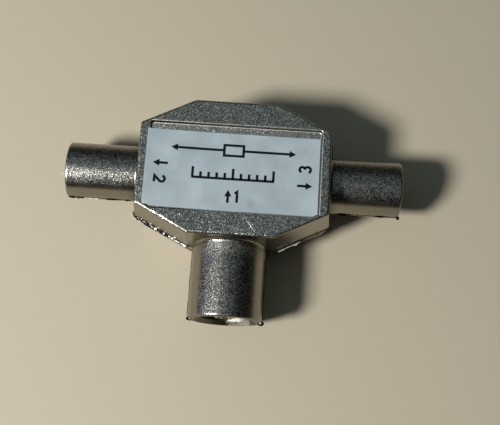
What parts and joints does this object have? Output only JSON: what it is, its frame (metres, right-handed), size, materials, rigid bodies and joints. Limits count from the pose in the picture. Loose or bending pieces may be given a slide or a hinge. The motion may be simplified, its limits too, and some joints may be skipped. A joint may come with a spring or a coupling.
{
  "type": "two-way aerial splitter",
  "caption": "T-shaped die-cast aerial splitter: a slotted-contact input socket, opposite output plugs, a labelled eight-sided body and a transformer board inside.",
  "frame": {"origin": "on the outer face of the back cover, under the crossing of the three shell axes", "axes": "+X along the right output, -Y along the input towards its mouth, +Z from the back cover to the label"},
  "size_m": [0.0568, 0.0366, 0.0155],
  "materials": {
    "nickel_plated_casting": "satin nickel plate over a grained zinc die casting",
    "cover_plate": "satin nickel plate on a stamped sheet",
    "label_film": "matt printed film",
    "insulator_plastic": "moulded polyethylene",
    "contact_metal": "nickel plate over turned brass",
    "board_laminate": "paper laminate",
    "ferrite": "sintered ferrite",
    "enamelled_wire": "enamelled copper",
    "resistor_lacquer": "lacquer",
    "capacitor_lacquer": "lacquer",
    "tinned_wire": "tin plate",
    "solder": "bright solder"
  },
  "bodies": {
    "root": {"housing": "nickel_plated_casting", "back_cover": "cover_plate", "front_label": "label_film", "in_insulator": "insulator_plastic", "in_contact": "contact_metal", "left_insulator": "insulator_plastic", "left_pin": "contact_metal", "right_insulator": "insulator_plastic", "right_pin": "contact_metal", "circuit_board": "board_laminate", "matching_core": "ferrite", "matching_winding": "enamelled_wire", "splitter_core": "ferrite", "splitter_winding": "enamelled_wire", "resistor_body": "resistor_lacquer", "resistor_leads": "tinned_wire", "capacitor_body": "capacitor_lacquer", "capacitor_leads": "tinned_wire", "solder_joints": "solder"}
  },
  "joints": []
}
